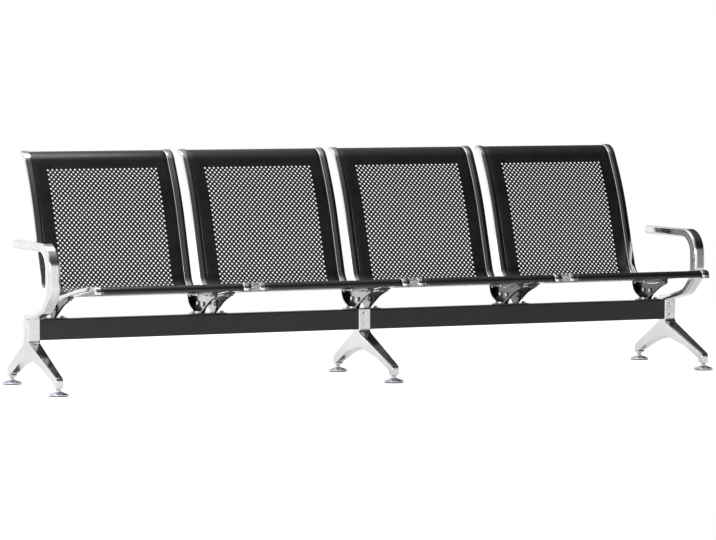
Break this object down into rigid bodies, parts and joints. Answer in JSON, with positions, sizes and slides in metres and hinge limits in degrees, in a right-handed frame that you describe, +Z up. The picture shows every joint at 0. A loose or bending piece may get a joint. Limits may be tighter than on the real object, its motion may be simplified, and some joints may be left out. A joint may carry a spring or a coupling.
{
  "type": "beam seating",
  "caption": "Waiting-room beam seating: perforated steel seats between chromed rails, cast end armrests, cast legs on levelling glides, one rectangular beam.",
  "frame": {"origin": "on the floor, under the middle of the outline", "axes": "+X to the right seen from the front, -Y to the front, +Z up"},
  "size_m": [2.493, 0.7554, 0.7908],
  "materials": {
    "chrome": "bright chrome plate",
    "cast_chrome": "aluminium die casting, polished and chrome plated",
    "seat_paint": "gloss black powder coat on perforated steel",
    "bracket_paint": "gloss black powder coat",
    "beam_paint": "satin charcoal powder coat",
    "fastener_steel": "zinc-plated steel",
    "plug_plastic": "black moulded",
    "sole_nylon": "black nylon"
  },
  "bodies": {
    "root": {"beam_tube": "beam_paint", "leg_left": "cast_chrome", "leg_center": "cast_chrome", "leg_right": "cast_chrome", "armrest_left": "cast_chrome", "armrest_right": "cast_chrome", "seat_1_sheet": "seat_paint", "seat_1_sheet_screws": "fastener_steel", "seat_1_rail_left": "chrome", "seat_1_bracket_left": "bracket_paint", "seat_1_rail_right": "chrome", "seat_1_bracket_right": "bracket_paint", "seat_2_sheet": "seat_paint", "seat_2_sheet_screws": "fastener_steel", "seat_2_rail_left": "chrome", "seat_2_bracket_left": "bracket_paint", "seat_2_rail_right": "chrome", "seat_2_bracket_right": "bracket_paint", "seat_3_sheet": "seat_paint", "seat_3_sheet_screws": "fastener_steel", "seat_3_rail_left": "chrome", "seat_3_bracket_left": "bracket_paint", "seat_3_rail_right": "chrome", "seat_3_bracket_right": "bracket_paint", "seat_4_sheet": "seat_paint", "seat_4_sheet_screws": "fastener_steel", "seat_4_rail_left": "chrome", "seat_4_bracket_left": "bracket_paint", "seat_4_rail_right": "chrome", "seat_4_bracket_right": "bracket_paint", "saddle_1": "bracket_paint", "saddle_2": "bracket_paint", "saddle_3": "bracket_paint", "saddle_4": "bracket_paint", "saddle_5": "bracket_paint", "rail_plugs": "plug_plastic", "leg_screws": "fastener_steel", "armrest_bolts": "fastener_steel", "saddle_screws": "fastener_steel", "bracket_screws": "fastener_steel", "web_bolts": "fastener_steel", "glide_lock_nuts": "fastener_steel"},
    "glide_front_left": {"glide_front_left_disc": "chrome", "glide_front_left_sole": "sole_nylon", "glide_front_left_stud": "fastener_steel"},
    "glide_rear_left": {"glide_rear_left_disc": "chrome", "glide_rear_left_sole": "sole_nylon", "glide_rear_left_stud": "fastener_steel"},
    "glide_front_center": {"glide_front_center_disc": "chrome", "glide_front_center_sole": "sole_nylon", "glide_front_center_stud": "fastener_steel"},
    "glide_rear_center": {"glide_rear_center_disc": "chrome", "glide_rear_center_sole": "sole_nylon", "glide_rear_center_stud": "fastener_steel"},
    "glide_front_right": {"glide_front_right_disc": "chrome", "glide_front_right_sole": "sole_nylon", "glide_front_right_stud": "fastener_steel"},
    "glide_rear_right": {"glide_rear_right_disc": "chrome", "glide_rear_right_sole": "sole_nylon", "glide_rear_right_stud": "fastener_steel"}
  },
  "joints": [
    {"name": "glide_front_left_screw", "type": "slide", "parent": "root", "child": "glide_front_left", "axis": [0, 0, -1], "range_m": [0, 0.012]},
    {"name": "glide_rear_left_screw", "type": "slide", "parent": "root", "child": "glide_rear_left", "axis": [0, 0, -1], "range_m": [0, 0.012]},
    {"name": "glide_front_center_screw", "type": "slide", "parent": "root", "child": "glide_front_center", "axis": [0, 0, -1], "range_m": [0, 0.012]},
    {"name": "glide_rear_center_screw", "type": "slide", "parent": "root", "child": "glide_rear_center", "axis": [0, 0, -1], "range_m": [0, 0.012]},
    {"name": "glide_front_right_screw", "type": "slide", "parent": "root", "child": "glide_front_right", "axis": [0, 0, -1], "range_m": [0, 0.012]},
    {"name": "glide_rear_right_screw", "type": "slide", "parent": "root", "child": "glide_rear_right", "axis": [0, 0, -1], "range_m": [0, 0.012]}
  ]
}
